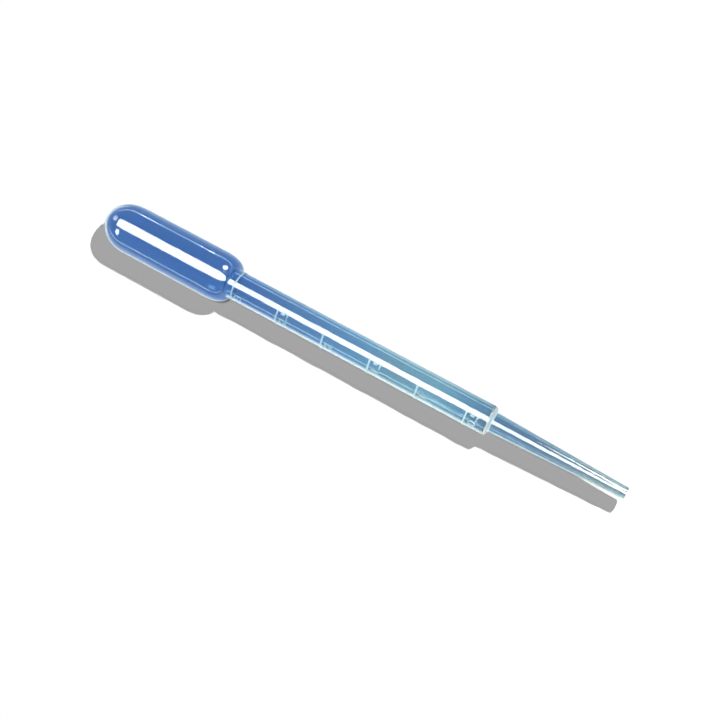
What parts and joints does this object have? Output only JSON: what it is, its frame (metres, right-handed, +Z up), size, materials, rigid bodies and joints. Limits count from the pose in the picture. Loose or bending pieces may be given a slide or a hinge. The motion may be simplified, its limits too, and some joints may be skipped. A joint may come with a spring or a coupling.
{
  "type": "graduated transfer pipette",
  "caption": "Soft one-piece transfer pipette with a squeeze bulb, a straight graduated stem and a narrow tapered tip, lying on its side.",
  "frame": {"origin": "under the middle of the pipette's length and width, on the surface it lies on", "axes": "+X along the pipette from the bulb to the tip, +Y towards the side the thumb presses, +Z up"},
  "size_m": [0.1548, 0.0136, 0.0135],
  "materials": {
    "bulb_plastic": "translucent blue polyethylene, smooth",
    "stem_plastic": "translucent pale blue polyethylene, smooth",
    "tip_plastic": "translucent pale blue polyethylene, smooth"
  },
  "bodies": {
    "moulding": {"bulb_dome": "bulb_plastic", "bulb_barrel": "bulb_plastic", "bulb_shoulder": "bulb_plastic", "graduated_stem": "stem_plastic", "stem_step": "stem_plastic", "dropper_tip": "tip_plastic"},
    "thumb_side": {"thumb_wall": "bulb_plastic"},
    "finger_side": {"finger_wall": "bulb_plastic"}
  },
  "joints": [
    {"name": "thumb_squeeze", "type": "slide", "parent": "moulding", "child": "thumb_side", "axis": [0, -1, 0], "range_m": [0, 0.0042], "stiffness_N_per_m": 600},
    {"name": "finger_squeeze", "type": "slide", "parent": "moulding", "child": "finger_side", "axis": [0, 1, 0], "range_m": [0, 0.0042], "stiffness_N_per_m": 600}
  ],
  "couplings": [
    {"joint": "finger_squeeze", "follows": "thumb_squeeze", "ratio": 1}
  ]
}
